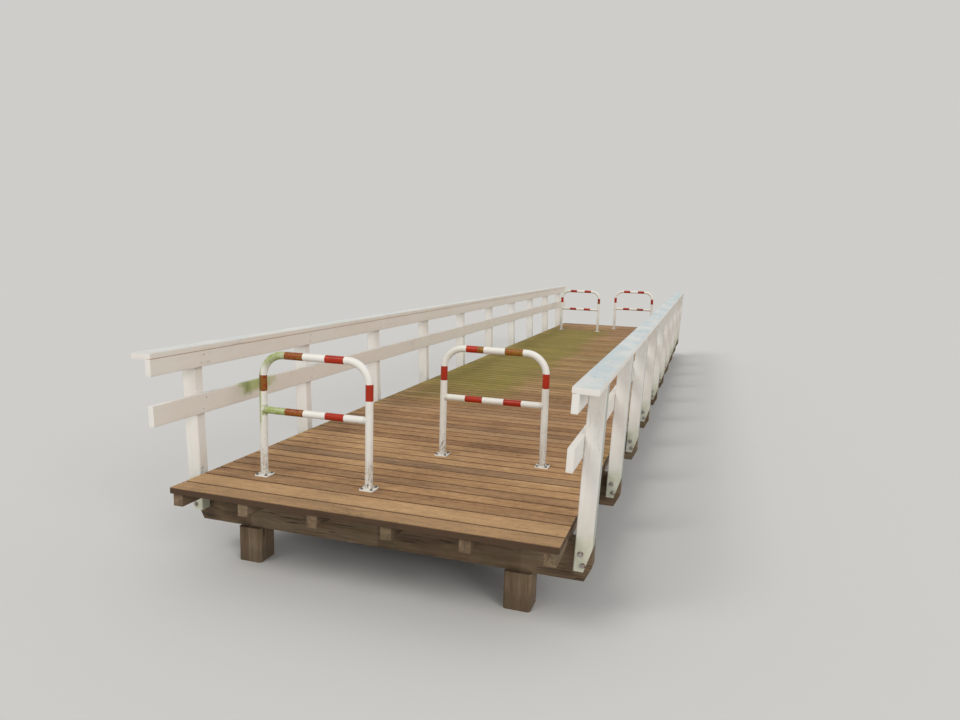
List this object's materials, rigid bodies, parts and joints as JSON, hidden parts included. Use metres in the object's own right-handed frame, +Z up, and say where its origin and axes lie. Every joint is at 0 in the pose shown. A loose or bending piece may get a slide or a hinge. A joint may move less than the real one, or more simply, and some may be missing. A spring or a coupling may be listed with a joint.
{
  "type": "footbridge",
  "caption": "Low timber footbridge on short piles, with white post-and-rail railings that lean outwards and staggered tube hoop barriers at both ends.",
  "frame": {"origin": "under the middle of the whole bridge, at the level of the pile feet", "axes": "+Y along the bridge, away from the end whose left handrail runs past the deck; +X to the right of someone walking in +Y; +Z up"},
  "size_m": [3.328, 15.32, 1.719],
  "materials": {
    "painted_wood": "weathered white paint",
    "deck_wood": "bare, worn and damp",
    "structure_wood": "bare, dark and weathered",
    "painted_steel": "white gloss paint with red bands, rusting"
  },
  "bodies": {
    "root": {"post_left_1": "painted_wood", "post_left_2": "painted_wood", "post_left_3": "painted_wood", "post_left_4": "painted_wood", "post_left_5": "painted_wood", "post_left_6": "painted_wood", "post_left_7": "painted_wood", "post_left_8": "painted_wood", "post_left_9": "painted_wood", "post_left_10": "painted_wood", "post_right_1": "painted_wood", "post_right_2": "painted_wood", "post_right_3": "painted_wood", "post_right_4": "painted_wood", "post_right_5": "painted_wood", "post_right_6": "painted_wood", "post_right_7": "painted_wood", "post_right_8": "painted_wood", "post_right_9": "painted_wood", "post_right_10": "painted_wood", "handrail_cap_left": "painted_wood", "handrail_cap_right": "painted_wood", "top_rail_left": "painted_wood", "top_rail_right": "painted_wood", "mid_rail_left": "painted_wood", "mid_rail_right": "painted_wood", "deck_boards_near_end": "deck_wood", "deck_boards_1": "deck_wood", "deck_boards_2": "deck_wood", "deck_boards_3": "deck_wood", "deck_boards_4": "deck_wood", "deck_boards_far_end": "deck_wood", "edge_stringer_left": "structure_wood", "edge_stringer_right": "structure_wood", "inner_stringers": "structure_wood", "cross_beams": "structure_wood", "piles_left": "structure_wood", "piles_right": "structure_wood", "hoop_barrier_near_left": "painted_steel", "hoop_barrier_near_right": "painted_steel", "hoop_barrier_far_left": "painted_steel", "hoop_barrier_far_right": "painted_steel"}
  },
  "joints": []
}
